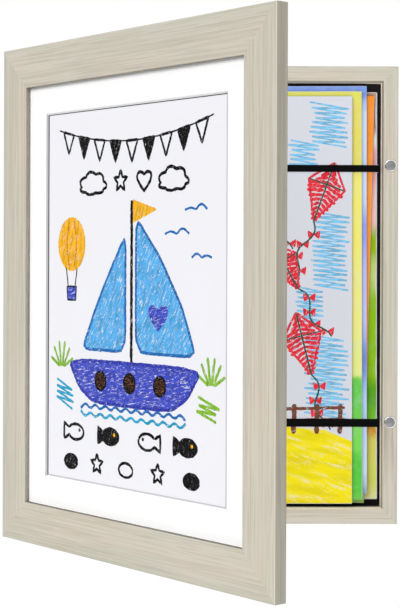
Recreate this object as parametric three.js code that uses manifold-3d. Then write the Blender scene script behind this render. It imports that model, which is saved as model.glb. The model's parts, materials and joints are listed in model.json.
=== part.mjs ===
// A hinged storage frame for children's art. A shallow box hangs on the wall and keeps a stack of sheets
// behind two elastic straps, and a mitred picture frame is its door. Sizes are in millimetres. Seen from the
// front, X is right, Y is back towards the wall and Z is up. The origin is the middle of the top rail's rear
// rim, which bears on the wall.
import * as THREE from "three";
import { mergeVertices } from "three/addons/utils/BufferGeometryUtils.js";
import Module from "manifold-3d";

// The sheet on show and the mat round it, which set the size of the door and so of the box
const printWidth = 215.9;
const printHeight = 279.4;
const printThickness = 0.25;
const printOverlapAcross = 5.95; // how far the mat covers the print at its sides
const printOverlapUp = 5.2; // and at its top and bottom
const matBorder = 21.9; // between the window and the moulding
const matThickness = 1.2;

// Door frame
const mouldingWidth = 30.6;
const lipThickness = 3.2; // wood in front of the glazing
const rebateWidth = 3.6; // how far the lip covers the contents
const woodBehindPoints = 0.85;
const doorEdgeRound = 0.7;
const doorOpenAngle = THREE.MathUtils.degToRad(50);

// The door's other contents
const contentsClearance = 0.5; // around the edges, inside the rebate
const layerGap = 0.3; // between one layer and the next
const glazingThickness = 1;
const backingThickness = 1.5;

// Flexible points that hold the backing
const pointWidth = 7;
const pointThickness = 0.5;
const pointInWood = 6;
const pointOverBacking = 8;
const pointTipWidth = 2;
const pointPlaceShare = 0.17; // of the door's height, up and down from its middle

// Box
const doorOverhang = 10; // how far the door stands out past the box on each side
const railWidth = 11.5;
const storageDepth = 18;
const panelThickness = 3;
const rearRecess = 5;
const panelSeatWidth = 6;
const panelClearance = 0.4;
const boxEdgeRound = 0.6;
const mitreGap = 0.15; // hairline between two mitred ends
const panelScrewShare = 0.25; // of the box's height, up and down from its middle

// Hinges
const doorGap = 2.4; // between the box's front and the closed door's back
const pinOutset = 2.6; // from the box's side to the pin's axis
const hingeInset = 60; // from the box's end to the middle of the hinge
const hingeLength = 38;
const leafWidth = 12.6; // from the pin's axis to the leaf's free edge
const leafThickness = 0.8;
const leafCornerRound = 2;
const leafScrewReach = 8.2; // from the pin's axis to the screws
const leafScrewSpacing = 22;
const knuckleCount = 5;
const knuckleRadius = 2.2;
const knuckleGap = 0.3; // between one knuckle and the next
const knuckleClearance = 0.35; // round a knuckle, to the other leaf and to the door
const pinRadius = 1;
const pinClearance = 0.15;
const pinHeadRadius = 1.8;
const pinHeadHeight = 0.9;

// Catch
const magnetRadius = 4.5;
const magnetThickness = 4;
const magnetProud = 0.8;
const magnetChamfer = 0.5;
const magnetInset = 77.5; // from the box's end
const strikeRadius = 4.5;
const strikeThickness = 3.4;
const strikeProud = 1.2;
const strikeChamfer = 0.3;
const discClearance = 0.2; // round a disc in its hole

// Straps and their staples
const strapWidth = 5.5;
const strapThickness = 0.9;
const strapInset = 78; // from the box's end
const strapWallGap = 1.7;
const strapFoldRound = 0.6;
const strapTabLength = 16;
const strapSlitClearance = 0.3;
const stapleWire = 0.6;
const stapleLegInPanel = 2.3;
const stapleClearance = 0.25;

// Stored sheets
const sheetSideRoom = 15.5; // on each side of a sheet that lies in the middle of the box
const sheetEndRoom = 6.75; // and above and below it
const bundleThickness = 2;
const bundleGap = 0.3;
// Each bundle's place, front to back, in shares of that room, and its tilt
const bundlePlaceShares = [
  { acrossShare: -0.51, upShare: -0.63, tilt: 0 },
  { acrossShare: 0, upShare: -0.02, tilt: 0 },
  { acrossShare: 0.26, upShare: 0.52, tilt: 0 },
  { acrossShare: 0.35, upShare: 0.07, tilt: THREE.MathUtils.degToRad(1.3) },
  { acrossShare: 0.8, upShare: -0.12, tilt: 0 },
];

// Sawtooth hangers
const hangerLength = 45;
const hangerWidth = 9;
const hangerThickness = 0.8;
const hangerRise = 1.8; // from the panel to the back of the raised middle
const hangerTabLength = 9;
const hangerStepLength = 2.5;
const hangerInset = 13; // from the panel's edge to the hanger's middle
const toothCount = 11;
const toothDepth = 2.2;

// Screws: the radius under the head, the head and the length, and the recess that the driver fits
const leafScrew = { shankRadius: 0.9, headRadius: 2, headHeight: 1.1, length: 7.5 };
const panelScrew = { shankRadius: 1.1, headRadius: 2.6, headHeight: 1.4, length: 9.5 };
const hangerScrew = { shankRadius: 0.9, headRadius: 2, headHeight: 1, length: 3.2 };
const screwClearance = 0.15; // round a screw in its hole
const screwTipLength = 1.2;
const driverSlotWidth = 0.5;
const driverSlotDepth = 0.6;

// Making
const cutOverrun = 1; // how far a cutting solid runs past the surface it cuts
const weldDistance = 1e-4;
const edgeSegments = 3;
const roundSegments = 24;
const screwSegments = 16;

// Worked out from the sizes above: the door, from the print outwards, and the depth of each of its layers
// behind its front
const matWindowWidth = printWidth - 2 * printOverlapAcross;
const matWindowHeight = printHeight - 2 * printOverlapUp;
const sightWidth = matWindowWidth + 2 * matBorder;
const sightHeight = matWindowHeight + 2 * matBorder;
const doorWidth = sightWidth + 2 * mouldingWidth;
const doorHeight = sightHeight + 2 * mouldingWidth;
const contentsWidth = sightWidth + 2 * (rebateWidth - contentsClearance);
const contentsHeight = sightHeight + 2 * (rebateWidth - contentsClearance);
const glazingDepth = lipThickness + layerGap;
const matDepth = glazingDepth + glazingThickness + layerGap;
const printDepth = matDepth + matThickness + layerGap;
const backingDepth = printDepth + printThickness + layerGap;
const pointDepth = backingDepth + backingThickness + layerGap;
const doorThickness = pointDepth + pointThickness + woodBehindPoints;

// The box, and the places of what joins it to the door
const boxWidth = doorWidth - 2 * doorOverhang;
const boxHeight = doorHeight - 2 * doorOverhang;
const boxDepth = storageDepth + panelThickness + rearRecess;
const innerWidth = boxWidth - 2 * railWidth;
const innerHeight = boxHeight - 2 * railWidth;
const panelWidth = innerWidth + 2 * (panelSeatWidth - panelClearance);
const panelHeight = innerHeight + 2 * (panelSeatWidth - panelClearance);
const rimWidth = railWidth - panelSeatWidth;
const boxFront = -boxDepth;
const panelFront = boxFront + storageDepth;
const panelBack = panelFront + panelThickness;
const doorBack = boxFront - doorGap;
const doorFront = doorBack - doorThickness;
const pinX = -boxWidth / 2 - pinOutset;
const pinY = boxFront - doorGap / 2;
const pinInDoor = doorOverhang - pinOutset; // from the door's hinge edge to the pin's axis
const hingeOffset = boxHeight / 2 - hingeInset;
const magnetOffset = boxHeight / 2 - magnetInset;
const strapOffset = boxHeight / 2 - strapInset;
const knucklePitch = hingeLength / knuckleCount;
const upperAndLower = [
  { level: "upper", up: 1 },
  { level: "lower", up: -1 },
];
const leftAndRight = [
  { side: "left", right: -1 },
  { side: "right", right: 1 },
];

const wasm = await Module();
wasm.setup();

const material = (color, roughness, metalness = 0) =>
  new THREE.MeshStandardMaterial({ color, roughness, metalness });

const materials = {
  door: () => material(0xcfcabe, 0.55),
  box: () => material(0xcdc9bb, 0.55),
  panel: () => material(0x141414, 0.7),
  strap: () => material(0x0e0e0f, 0.85),
  steel: () => material(0xb9b9b6, 0.3, 1),
  magnet: () => material(0xa6a6a6, 0.25, 1),
  paper: () => material(0xf4f3f5, 0.9),
  mat: () => material(0xfafafa, 0.9),
  backing: () => material(0x2a2826, 0.85),
  glazing: () => {
    const clear = material(0xffffff, 0.05);
    clear.transparent = true;
    clear.opacity = 0.12;
    return clear;
  },
};

// The closed solid of a geometry.
function solidOf(geometry) {
  const bare = new THREE.BufferGeometry();
  bare.setAttribute("position", geometry.getAttribute("position"));
  bare.setIndex(geometry.index);
  const merged = mergeVertices(bare, weldDistance);
  return new wasm.Manifold(
    new wasm.Mesh({
      numProp: 3,
      vertProperties: merged.getAttribute("position").array,
      triVerts: new Uint32Array(merged.index.array),
    }),
  );
}

// The flat-shaded geometry of a closed solid.
function geometryOf(solid) {
  const { vertProperties, triVerts } = solid.getMesh();
  const indexed = new THREE.BufferGeometry();
  indexed.setAttribute("position", new THREE.BufferAttribute(vertProperties, 3));
  indexed.setIndex(new THREE.BufferAttribute(triVerts, 1));
  const geometry = indexed.toNonIndexed();
  geometry.computeVertexNormals();
  return geometry;
}

function join(geometries) {
  return geometryOf(geometries.map(solidOf).reduce((whole, part) => whole.add(part)));
}

function cut(geometry, tools) {
  return geometryOf(tools.map(solidOf).reduce((left, tool) => left.subtract(tool), solidOf(geometry)));
}

// Adds a named mesh to a group, at a place in it and turned about the group's axes.
function place(group, name, geometry, finish, position = [0, 0, 0], rotation = [0, 0, 0]) {
  const mesh = new THREE.Mesh(geometry, finish());
  mesh.name = name;
  mesh.position.set(...position);
  mesh.rotation.set(...rotation);
  group.add(mesh);
  return mesh;
}

// Closed outline through [x, y, round] corners. A corner with a round is eased over that length on both
// sides.
function easedShape(corners) {
  const shape = new THREE.Shape();
  const along = (corner, other, distance) =>
    new THREE.Vector2(other[0] - corner[0], other[1] - corner[1])
      .setLength(distance)
      .add(new THREE.Vector2(corner[0], corner[1]));
  corners.forEach((corner, index) => {
    const [x, y, round = 0] = corner;
    const start = along(corner, corners.at(index - 1), round);
    const end = along(corner, corners[(index + 1) % corners.length], round);
    if (index) shape.lineTo(start.x, start.y);
    else shape.moveTo(start.x, start.y);
    if (round) shape.quadraticCurveTo(x, y, end.x, end.y);
  });
  shape.closePath();
  return shape;
}

function extrude(shape, depth) {
  return new THREE.ExtrudeGeometry(shape, { depth, bevelEnabled: false, curveSegments: edgeSegments });
}

// A board with its middle at the origin and its front at y 0.
function board(width, height, thickness) {
  return new THREE.BoxGeometry(width, thickness, height).translate(0, thickness / 2, 0);
}

// A bar along Z, with its middle at the origin.
function zCylinder(radius, length, segments = roundSegments) {
  return new THREE.CylinderGeometry(radius, radius, length, segments).rotateX(Math.PI / 2);
}

// One side of a mitred frame. It lies along X with its front at y 0, its outer edge at z 0 and its width
// below that, and both ends are cut at 45 degrees. A corner of the profile is [inset from the outer edge,
// depth, round].
function mitredRail(profile, outerLength) {
  const rail = extrude(easedShape(profile), outerLength);
  const position = rail.getAttribute("position");
  for (let i = 0; i < position.count; i++) {
    const inset = position.getX(i);
    const end = Math.sign(position.getZ(i) - outerLength / 2);
    const halfLength = (outerLength - mitreGap) / 2 - inset;
    position.setXYZ(i, end * halfLength, position.getY(i), -inset);
  }
  return rail;
}

// Turns of a rail about Y that put it on each side of its frame.
const railTurn = { top: 0, right: Math.PI / 2, bottom: Math.PI, left: -Math.PI / 2 };

const isStile = (side) => side === "left" || side === "right";

// The place of a rail's outer edge in a frame of this width and height, with its front at frontY.
function railPlace(side, width, height, frontY) {
  return {
    top: [0, frontY, height / 2],
    right: [width / 2, frontY, 0],
    bottom: [0, frontY, -height / 2],
    left: [-width / 2, frontY, 0],
  }[side];
}

// Half the outline of a countersunk screw, from its tip to the top of its head at y 0, grown by a clearance.
function screwProfile({ shankRadius, headRadius, headHeight, length }, grow = 0) {
  return [
    [0, -length - grow],
    [shankRadius + grow, screwTipLength - length - grow],
    [shankRadius + grow, -headHeight],
    [headRadius + grow, grow ? -grow : 0],
    ...(grow ? [[headRadius + grow, cutOverrun]] : []),
    [0, grow ? cutOverrun : 0],
  ].map(([radius, y]) => new THREE.Vector2(radius, y));
}

// A screw that points down -Y, with crossed slots for the driver.
function screw(size) {
  const body = new THREE.LatheGeometry(screwProfile(size), screwSegments);
  const slotDepth = driverSlotDepth + cutOverrun;
  const slot = new THREE.BoxGeometry(size.headRadius, slotDepth, driverSlotWidth);
  slot.translate(0, slotDepth / 2 - driverSlotDepth, 0);
  return cut(body, [slot, slot.clone().rotateY(Math.PI / 2)]);
}

// The hole that a screw needs, with the screw's head at a place. towards is 1 where the screw points to +Y,
// else -1.
function screwHole(size, [x, y, z], towards) {
  const hole = new THREE.LatheGeometry(screwProfile(size, screwClearance), screwSegments);
  if (towards > 0) hole.rotateX(Math.PI);
  return hole.translate(x, y, z);
}

const screwTurn = (towards) => [towards > 0 ? Math.PI : 0, 0, 0];

// A round disc with a chamfered face at y 0 and its body towards +Y.
function chamferedDisc(radius, thickness, chamfer) {
  const profile = [
    [0, -thickness],
    [radius, -thickness],
    [radius, -chamfer],
    [radius - chamfer, 0],
    [0, 0],
  ].map(([r, y]) => new THREE.Vector2(r, y));
  return new THREE.LatheGeometry(profile, roundSegments).rotateX(Math.PI);
}

// A blind round hole from a face at y 0. towards is 1 where the hole runs to +Y, else -1.
function discHole(radius, depth, [x, z], faceY, towards) {
  const length = depth + discClearance + cutOverrun;
  return new THREE.CylinderGeometry(radius + discClearance, radius + discClearance, length, roundSegments)
    .translate(x, faceY + towards * (length / 2 - cutOverrun), z);
}

// The box's rails: square in front, with a seat for the panel behind.
const boxProfile = [
  [0, 0, boxEdgeRound],
  [railWidth, 0, boxEdgeRound],
  [railWidth, storageDepth],
  [rimWidth, storageDepth],
  [rimWidth, boxDepth],
  [0, boxDepth, boxEdgeRound],
];

// Screws through the panel into the seat, each by its side of the box and its place along that side.
const panelScrewOffset = panelScrewShare * boxHeight;
const panelScrews = [
  { name: "panel_screw_left_upper", side: "left", along: panelScrewOffset },
  { name: "panel_screw_left_lower", side: "left", along: -panelScrewOffset },
  { name: "panel_screw_right_upper", side: "right", along: -panelScrewOffset },
  { name: "panel_screw_right_lower", side: "right", along: panelScrewOffset },
  { name: "panel_screw_top", side: "top", along: 0 },
  { name: "panel_screw_bottom", side: "bottom", along: 0 },
];
const panelScrewInset = railWidth - panelSeatWidth / 2;

// Where a panel screw lies in the box, seen from the front.
function panelScrewPlace({ side, along }) {
  const [x, , z] = railPlace(side, boxWidth, boxHeight, 0);
  const turned = new THREE.Vector3(along, 0, -panelScrewInset);
  turned.applyEuler(new THREE.Euler(0, railTurn[side], 0));
  return [x + turned.x, panelBack, z + turned.z];
}

// Hinge screws lie at these offsets along their stile.
const hingeScrewOffsets = upperAndLower.flatMap((hinge) =>
  upperAndLower.map((hole) => hinge.up * hingeOffset + (hole.up * leafScrewSpacing) / 2),
);

function boxRail(side) {
  const rail = mitredRail(boxProfile, isStile(side) ? boxHeight : boxWidth);
  const holes = panelScrews
    .filter((one) => one.side === side)
    .map((one) => screwHole(panelScrew, [one.along, panelBack - boxFront, -panelScrewInset], -1));
  if (side === "left") {
    const inset = leafScrewReach - pinOutset;
    for (const along of hingeScrewOffsets) {
      holes.push(screwHole(leafScrew, [along, -leafThickness, -inset], 1));
    }
  }
  if (side === "right") {
    const depth = magnetThickness - magnetProud;
    for (const { up } of upperAndLower) {
      holes.push(discHole(magnetRadius, depth, [up * magnetOffset, -railWidth / 2], 0, 1));
    }
  }
  return cut(rail, holes);
}

// The four rails of a mitred frame, each turned and set on its side.
function addFrame(group, name, [width, height, frontY], makeRail, finish) {
  for (const side of Object.keys(railTurn)) {
    const kind = isStile(side) ? "stile" : "rail";
    const at = railPlace(side, width, height, frontY);
    place(group, `${name}_${kind}_${side}`, makeRail(side), finish, at, [0, railTurn[side], 0]);
  }
}

// The elastic strap seen from above: across the stack, down beside it, through the panel and in along the
// panel's back.
const strapOuterX = innerWidth / 2 - strapWallGap;
const stackDepth = bundlePlaceShares.length * (bundleThickness + bundleGap);
const strapFront = panelFront - stackDepth - bundleGap - strapThickness;

function strap() {
  const innerX = strapOuterX - strapThickness;
  const tabX = strapOuterX - strapTabLength;
  const tabBack = panelBack + strapThickness;
  const rightHalf = [
    [strapOuterX, strapFront, strapFoldRound],
    [strapOuterX, tabBack, strapFoldRound],
    [tabX, tabBack],
    [tabX, panelBack],
    [innerX, panelBack],
    [innerX, strapFront + strapThickness],
  ];
  const leftHalf = rightHalf.map(([x, y, round]) => [-x, y, round]).reverse();
  return extrude(easedShape([...rightHalf, ...leftHalf]), strapWidth).translate(0, 0, -strapWidth / 2);
}

// A staple over a strap's tab: the crown lies along Z on the tab, which is at y 0, and the legs run to -Y.
const stapleLegLength = strapThickness + stapleLegInPanel;
const stapleHalfSpan = strapWidth / 2 + stapleClearance + stapleWire / 2;

function stapleLeg(up, width, length) {
  return new THREE.BoxGeometry(width, length + stapleWire, width)
    .translate(0, (stapleWire - length) / 2, up * stapleHalfSpan);
}

function staple() {
  const crownLength = 2 * stapleHalfSpan + stapleWire;
  const crown = new THREE.BoxGeometry(stapleWire, stapleWire, crownLength).translate(0, stapleWire / 2, 0);
  return join([crown, ...upperAndLower.map(({ up }) => stapleLeg(up, stapleWire, stapleLegLength))]);
}

function staplePlace(right, up) {
  return [right * (strapOuterX - strapTabLength / 2), panelBack + strapThickness, up * strapOffset];
}

function stapleHoles(right, up) {
  const width = stapleWire + stapleClearance;
  return upperAndLower.map((leg) =>
    stapleLeg(leg.up, width, stapleLegLength + stapleClearance).translate(...staplePlace(right, up)),
  );
}

function addStraps(group) {
  for (const { level, up } of upperAndLower) {
    place(group, `strap_${level}`, strap(), materials.strap, [0, 0, up * strapOffset]);
    for (const { side, right } of leftAndRight) {
      const at = staplePlace(right, up);
      place(group, `strap_staple_${level}_${side}`, staple(), materials.steel, at);
    }
  }
}

// The slit in the panel that a strap's end goes through.
function strapSlit(right, up) {
  const width = strapThickness + 2 * strapSlitClearance;
  return new THREE.BoxGeometry(width, panelThickness + 2 * cutOverrun, strapWidth + 2 * strapSlitClearance)
    .translate(right * (strapOuterX - strapThickness / 2), panelFront + panelThickness / 2, up * strapOffset);
}

// The hangers: one for upright hanging, at the top, and one for sideways hanging, at the right.
const hangers = [
  {
    name: "hanger_top",
    at: [0, panelBack, panelHeight / 2 - hangerInset],
    turn: 0,
    ends: ["left", "right"],
  },
  {
    name: "hanger_side",
    at: [panelWidth / 2 - hangerInset, panelBack, 0],
    turn: Math.PI / 2,
    ends: ["upper", "lower"],
  },
];

// A joggled steel strip: two tabs on the panel, a raised middle, and teeth along the middle's lower edge.
function hanger() {
  const half = hangerLength / 2;
  const stepStart = half - hangerTabLength;
  const stepEnd = stepStart - hangerStepLength;
  const top = hangerRise + hangerThickness;
  const rightHalf = [
    [half, 0],
    [half, hangerThickness],
    [stepStart, hangerThickness],
    [stepEnd, top],
  ];
  const rightBelow = [
    [stepEnd + hangerThickness / 2, hangerRise],
    [stepStart + hangerThickness / 2, 0],
  ];
  const mirrored = (points) => points.map(([x, y]) => [-x, y]).reverse();
  const outline = [...rightHalf, ...mirrored(rightHalf), ...mirrored(rightBelow), ...rightBelow];
  const strip = extrude(easedShape(outline), hangerWidth).translate(0, 0, -hangerWidth / 2);
  const toothPitch = (2 * stepEnd) / toothCount;
  const teeth = Array.from({ length: toothCount }, (_, i) => [
    [-stepEnd + i * toothPitch, 0],
    [-stepEnd + (i + 1 / 2) * toothPitch, toothDepth],
  ]).flat();
  const gullets = easedShape([[-stepEnd, -cutOverrun], ...teeth, [stepEnd, 0], [stepEnd, -cutOverrun]]);
  const serration = extrude(gullets, top + 2 * cutOverrun)
    .rotateX(Math.PI / 2)
    .translate(0, top + cutOverrun, -hangerWidth / 2);
  return cut(strip, [serration, ...hangerHoles()]);
}

// Screw places along a hanger, from its middle.
const hangerScrewReach = hangerLength / 2 - hangerTabLength / 2;

function hangerHoles() {
  return leftAndRight.map(({ right }) =>
    screwHole(hangerScrew, [right * hangerScrewReach, hangerThickness, 0], -1),
  );
}

function hangerScrewPlace({ at, turn }, right) {
  const offset = new THREE.Vector3(right * hangerScrewReach, hangerThickness, 0);
  return offset.applyEuler(new THREE.Euler(0, turn, 0)).add(new THREE.Vector3(...at)).toArray();
}

function addHangers(group) {
  for (const one of hangers) {
    place(group, one.name, hanger(), materials.steel, one.at, [0, one.turn, 0]);
    leftAndRight.forEach(({ right }, i) => {
      const at = hangerScrewPlace(one, right);
      const name = `${one.name}_screw_${one.ends[i]}`;
      place(group, name, screw(hangerScrew), materials.steel, at, screwTurn(-1));
    });
  }
}

function backPanel() {
  const panel = board(panelWidth, panelHeight, panelThickness).translate(0, panelFront, 0);
  const holes = panelScrews.map((one) => screwHole(panelScrew, panelScrewPlace(one), -1));
  for (const { up } of upperAndLower) {
    for (const { right } of leftAndRight) holes.push(strapSlit(right, up), ...stapleHoles(right, up));
  }
  for (const one of hangers) {
    for (const { right } of leftAndRight) {
      holes.push(screwHole(hangerScrew, hangerScrewPlace(one, right), -1));
    }
  }
  return cut(panel, holes);
}

function addPanel(group) {
  place(group, "back_panel", backPanel(), materials.panel);
  for (const one of panelScrews) {
    place(group, one.name, screw(panelScrew), materials.steel, panelScrewPlace(one), screwTurn(-1));
  }
}

function addMagnets(group) {
  for (const { level, up } of upperAndLower) {
    const disc = chamferedDisc(magnetRadius, magnetThickness, magnetChamfer);
    const at = [boxWidth / 2 - railWidth / 2, boxFront - magnetProud, up * magnetOffset];
    place(group, `magnet_${level}`, disc, materials.magnet, at);
  }
}

function addBundles(group) {
  const sheetWidth = innerWidth - 2 * sheetSideRoom;
  const sheetHeight = innerHeight - 2 * sheetEndRoom;
  bundlePlaceShares.forEach(({ acrossShare, upShare, tilt }, i) => {
    const behind = bundlePlaceShares.length - i;
    const frontY = panelFront - behind * (bundleThickness + bundleGap);
    const at = [acrossShare * sheetSideRoom, frontY, upShare * sheetEndRoom];
    const sheets = board(sheetWidth, sheetHeight, bundleThickness);
    place(group, `art_bundle_${i + 1}`, sheets, materials.paper, at, [0, tilt, 0]);
  });
}

// A hinge leaf with its knuckles, round the pin's axis along Z. Its plate runs towards +X and lies from nearY
// to nearY plus its thickness. isOwn says which knuckles are this leaf's.
function hingeLeaf(nearY, isOwn, screwFaceY, screwTowards) {
  const corners = [
    [0, -hingeLength / 2],
    [leafWidth, -hingeLength / 2, leafCornerRound],
    [leafWidth, hingeLength / 2, leafCornerRound],
    [0, hingeLength / 2],
  ];
  const plate = extrude(easedShape(corners), leafThickness)
    .rotateX(Math.PI / 2)
    .translate(0, nearY + leafThickness, 0);
  const middles = Array.from(
    { length: knuckleCount },
    (_, i) => (i + 1 / 2) * knucklePitch - hingeLength / 2,
  );
  const own = middles.filter((_, i) => isOwn(i));
  const others = middles.filter((_, i) => !isOwn(i));
  const knuckles = own.map((z) => zCylinder(knuckleRadius, knucklePitch - knuckleGap).translate(0, 0, z));
  const clearances = others.map((z) =>
    zCylinder(knuckleRadius + knuckleClearance, knucklePitch + knuckleGap).translate(0, 0, z),
  );
  const ends = [-1, 1].map((end) =>
    zCylinder(knuckleRadius + knuckleClearance, knuckleGap).translate(0, 0, (end * hingeLength) / 2),
  );
  const bore = zCylinder(pinRadius + pinClearance, hingeLength + 2 * cutOverrun);
  const holes = upperAndLower.map(({ up }) =>
    screwHole(leafScrew, [leafScrewReach, screwFaceY, (up * leafScrewSpacing) / 2], screwTowards),
  );
  const bare = cut(plate, [...clearances, ...ends]);
  return cut(join([bare, ...knuckles]), [bore, ...holes]);
}

// The pin, with a low domed head at each end.
function hingePin() {
  const seat = hingeLength / 2 - knuckleGap / 2 + pinClearance;
  const domeEdge = pinHeadHeight / 2;
  const upperHalf = [
    [pinRadius, seat],
    [pinHeadRadius, seat],
    [pinHeadRadius, seat + domeEdge],
    [pinRadius, seat + pinHeadHeight],
    [0, seat + pinHeadHeight],
  ];
  const lowerHalf = upperHalf.map(([radius, y]) => [radius, -y]).reverse();
  const profile = [...lowerHalf, ...upperHalf].map(([radius, y]) => new THREE.Vector2(radius, y));
  return new THREE.LatheGeometry(profile, roundSegments).rotateX(Math.PI / 2);
}

// The box leaf lies on the box's front, and the door leaf on the door's back with a layer gap behind it.
const boxLeafFace = doorGap / 2 - leafThickness;
const doorLeafNear = layerGap - doorGap / 2;
const doorLeafFace = doorLeafNear + leafThickness;

function addHingeScrews(group, name, faceY, towards) {
  for (const { level, up } of upperAndLower) {
    const at = [leafScrewReach, faceY, (up * leafScrewSpacing) / 2];
    place(group, `${name}_screw_${level}`, screw(leafScrew), materials.steel, at, screwTurn(towards));
  }
}

function hingeGroup(up) {
  const group = new THREE.Group();
  group.position.set(pinX, pinY, up * hingeOffset);
  return group;
}

function addBoxHinges(group) {
  for (const { level, up } of upperAndLower) {
    const hinge = hingeGroup(up);
    const leaf = hingeLeaf(boxLeafFace, (i) => i % 2 === 0, boxLeafFace, 1);
    place(hinge, `hinge_${level}_box_leaf`, leaf, materials.steel);
    place(hinge, `hinge_${level}_pin`, hingePin(), materials.steel);
    addHingeScrews(hinge, `hinge_${level}_box`, boxLeafFace, 1);
    group.add(hinge);
  }
}

function addDoorHinges(group) {
  for (const { level, up } of upperAndLower) {
    const hinge = hingeGroup(up);
    const leaf = hingeLeaf(doorLeafNear, (i) => i % 2 === 1, doorLeafFace, -1);
    place(hinge, `hinge_${level}_door_leaf`, leaf, materials.steel);
    addHingeScrews(hinge, `hinge_${level}_door`, doorLeafFace, -1);
    group.add(hinge);
  }
}

// The door's moulding: a flat face, and a rebate behind the lip for the contents.
const doorProfile = [
  [0, 0, doorEdgeRound],
  [mouldingWidth, 0, doorEdgeRound],
  [mouldingWidth, lipThickness],
  [mouldingWidth - rebateWidth, lipThickness],
  [mouldingWidth - rebateWidth, doorThickness],
  [0, doorThickness, doorEdgeRound],
];

// The points, each by its side of the door and its place along that side.
const pointOffset = pointPlaceShare * doorHeight;
const points = [
  { name: "flexi_point_left_upper", side: "left", along: pointOffset },
  { name: "flexi_point_left_lower", side: "left", along: -pointOffset },
  { name: "flexi_point_right_upper", side: "right", along: -pointOffset },
  { name: "flexi_point_right_lower", side: "right", along: pointOffset },
  { name: "flexi_point_top", side: "top", along: 0 },
  { name: "flexi_point_bottom", side: "bottom", along: 0 },
];

// A flat steel point across the rebate's wall, in its rail's frame. grow makes the slot it is driven into.
function flexiPoint(along, grow = 0) {
  const wall = mouldingWidth - rebateWidth;
  const halfWidth = pointWidth / 2 + grow;
  const outline = [
    [-halfWidth, -wall - pointOverBacking, pointTipWidth],
    [halfWidth, -wall - pointOverBacking, pointTipWidth],
    [halfWidth, pointTipWidth - wall],
    [pointTipWidth / 2 + grow, pointInWood + grow - wall],
    [-pointTipWidth / 2 - grow, pointInWood + grow - wall],
    [-halfWidth, pointTipWidth - wall],
  ];
  return extrude(easedShape(outline), pointThickness + 2 * grow)
    .rotateX(Math.PI / 2)
    .translate(along, pointDepth + pointThickness + grow, 0);
}

function doorRail(side) {
  const rail = mitredRail(doorProfile, isStile(side) ? doorHeight : doorWidth);
  const holes = points.filter((one) => one.side === side).map((one) => flexiPoint(one.along, layerGap / 2));
  if (side === "left") {
    const pinDepth = doorThickness + doorGap / 2;
    const pocketRadius = knuckleRadius + knuckleClearance;
    const pocketLength = hingeLength + 2 * (pinHeadHeight + knuckleClearance);
    for (const { up } of upperAndLower) {
      const pocket = zCylinder(pocketRadius, pocketLength).rotateY(Math.PI / 2);
      holes.push(pocket.translate(up * hingeOffset, pinDepth, -pinInDoor));
    }
    for (const along of hingeScrewOffsets) {
      const faceDepth = pinDepth + doorLeafFace;
      holes.push(screwHole(leafScrew, [along, faceDepth, -pinInDoor - leafScrewReach], -1));
    }
  }
  if (side === "right") {
    const inset = doorOverhang + railWidth / 2;
    const depth = strikeThickness - strikeProud;
    for (const { up } of upperAndLower) {
      holes.push(discHole(strikeRadius, depth, [up * magnetOffset, -inset], doorThickness, -1));
    }
  }
  return cut(rail, holes);
}

// The mat's window, with edges that slope in at 45 degrees from the front to the back.
function matBoard() {
  const mat = board(contentsWidth, contentsHeight, matThickness);
  const opening = board(matWindowWidth, matWindowHeight, matThickness + 2 * cutOverrun);
  opening.translate(0, -cutOverrun, 0);
  const position = opening.getAttribute("position");
  for (let i = 0; i < position.count; i++) {
    const [x, y, z] = [position.getX(i), position.getY(i), position.getZ(i)];
    const spread = matThickness - y;
    position.setXYZ(i, x + Math.sign(x) * spread, y, z + Math.sign(z) * spread);
  }
  return cut(mat, [opening]);
}

function addContents(group) {
  const at = (depth) => [0, doorFront + depth, 0];
  const glazing = board(contentsWidth, contentsHeight, glazingThickness);
  place(group, "glazing", glazing, materials.glazing, at(glazingDepth));
  place(group, "mat_board", matBoard(), materials.mat, at(matDepth));
  const print = board(printWidth, printHeight, printThickness);
  place(group, "display_print", print, materials.paper, at(printDepth));
  const backing = board(contentsWidth, contentsHeight, backingThickness);
  place(group, "backing_board", backing, materials.backing, at(backingDepth));
}

function addPoints(group) {
  for (const one of points) {
    const at = railPlace(one.side, doorWidth, doorHeight, doorFront);
    place(group, one.name, flexiPoint(one.along), materials.steel, at, [0, railTurn[one.side], 0]);
  }
}

function addStrikes(group) {
  for (const { level, up } of upperAndLower) {
    const disc = chamferedDisc(strikeRadius, strikeThickness, strikeChamfer).rotateX(Math.PI);
    const at = [boxWidth / 2 - railWidth / 2, doorBack + strikeProud, up * magnetOffset];
    place(group, `strike_disc_${level}`, disc, materials.steel, at);
  }
}

function buildBox() {
  const group = new THREE.Group();
  addFrame(group, "box", [boxWidth, boxHeight, boxFront], boxRail, materials.box);
  addPanel(group);
  addHangers(group);
  addStraps(group);
  addMagnets(group);
  addBundles(group);
  addBoxHinges(group);
  return group;
}

// The door, made closed and then turned open about the hinge pins.
function buildDoor() {
  const closed = new THREE.Group();
  addFrame(closed, "door", [doorWidth, doorHeight, doorFront], doorRail, materials.door);
  addContents(closed);
  addPoints(closed);
  addStrikes(closed);
  addDoorHinges(closed);
  closed.position.set(-pinX, -pinY, 0);
  const door = new THREE.Group();
  door.add(closed);
  door.position.set(pinX, pinY, 0);
  door.rotation.z = -doorOpenAngle;
  return door;
}

const artFrame = new THREE.Group();
artFrame.add(buildBox(), buildDoor());
artFrame.position.z = rimWidth / 2 - boxHeight / 2;

export default artFrame;
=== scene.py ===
"""Dresses a hinged frame that shows one child's drawing and stores a stack of others behind it.

Lengths are in metres in the frame's own axes: X right, Y back to the wall, Z up. A drawing is laid out in
millimetres from the middle of its sheet, across and up.
"""

import json
import math
import random
from functools import partial, partialmethod

import bmesh  # noqa: E402
import bpy  # noqa: E402
from mathutils import Matrix, Vector  # noqa: E402

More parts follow.
